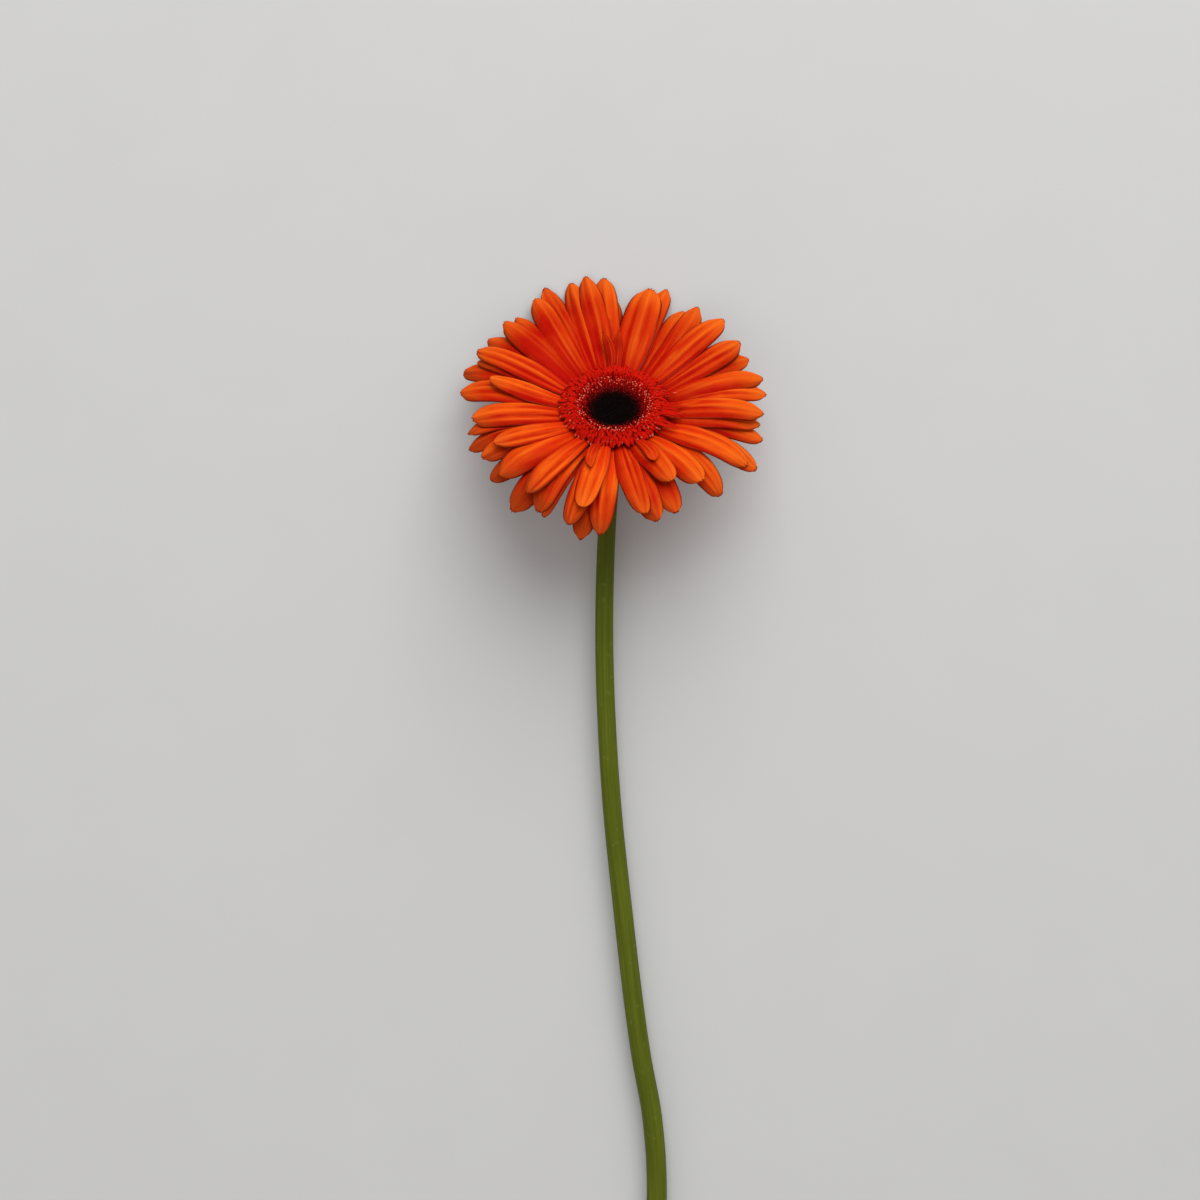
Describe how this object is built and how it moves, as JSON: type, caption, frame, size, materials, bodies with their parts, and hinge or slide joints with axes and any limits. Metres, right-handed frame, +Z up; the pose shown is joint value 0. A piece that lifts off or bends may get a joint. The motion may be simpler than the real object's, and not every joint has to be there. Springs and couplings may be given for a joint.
{
  "type": "cut gerbera",
  "caption": "Cut gerbera flower lying on its back: tiered orange-red ray petals round a dark-eyed disc, green bracts, and one long bare stem.",
  "frame": {"origin": "middle of the lying flower's box in plan, on the surface that it lies on", "axes": "+Z up off the surface; the stem runs along Y with the flower head at +Y and the cut end at -Y; the face of the head looks up and leans towards +Y"},
  "size_m": [0.1082, 0.4468, 0.0613],
  "materials": {
    "ray_petal": "satin petal skin, orange-red, ribbed lengthways",
    "inner_petal": "satin petal skin, deeper red",
    "ring_floret": "soft matt red florets",
    "disc_floret": "matt dark red florets with pale pink tips",
    "eye": "velvety near-black closed buds",
    "receptacle": "matt green plant tissue",
    "bract": "matt downy green",
    "stem": "satin green, fine lengthways ribs and short down"
  },
  "bodies": {
    "root": {"stem": "stem", "receptacle": "receptacle", "bracts_inner": "bract", "bracts_outer": "bract", "eye": "eye", "disc_florets": "disc_floret", "ring_florets": "ring_floret", "inner_petal_1": "inner_petal", "inner_petal_2": "inner_petal", "inner_petal_3": "inner_petal", "inner_petal_4": "inner_petal", "ray_petal_01": "ray_petal", "ray_petal_02": "ray_petal", "ray_petal_03": "ray_petal", "ray_petal_04": "ray_petal", "ray_petal_05": "ray_petal", "ray_petal_06": "ray_petal", "ray_petal_07": "ray_petal", "ray_petal_08": "ray_petal", "ray_petal_09": "ray_petal", "ray_petal_10": "ray_petal", "ray_petal_11": "ray_petal", "ray_petal_12": "ray_petal", "ray_petal_13": "ray_petal", "ray_petal_14": "ray_petal", "ray_petal_15": "ray_petal", "ray_petal_16": "ray_petal", "ray_petal_17": "ray_petal", "ray_petal_18": "ray_petal", "ray_petal_19": "ray_petal", "ray_petal_20": "ray_petal", "ray_petal_21": "ray_petal", "ray_petal_22": "ray_petal", "ray_petal_23": "ray_petal", "ray_petal_24": "ray_petal", "ray_petal_25": "ray_petal", "ray_petal_26": "ray_petal", "ray_petal_27": "ray_petal", "ray_petal_28": "ray_petal", "ray_petal_29": "ray_petal", "ray_petal_30": "ray_petal", "ray_petal_31": "ray_petal", "ray_petal_32": "ray_petal", "ray_petal_33": "ray_petal", "ray_petal_34": "ray_petal", "ray_petal_35": "ray_petal", "ray_petal_36": "ray_petal", "ray_petal_37": "ray_petal", "ray_petal_38": "ray_petal", "ray_petal_39": "ray_petal", "ray_petal_40": "ray_petal", "ray_petal_41": "ray_petal", "ray_petal_42": "ray_petal", "ray_petal_43": "ray_petal", "ray_petal_44": "ray_petal", "ray_petal_45": "ray_petal", "ray_petal_46": "ray_petal", "ray_petal_47": "ray_petal", "ray_petal_48": "ray_petal", "ray_petal_49": "ray_petal"}
  },
  "joints": []
}
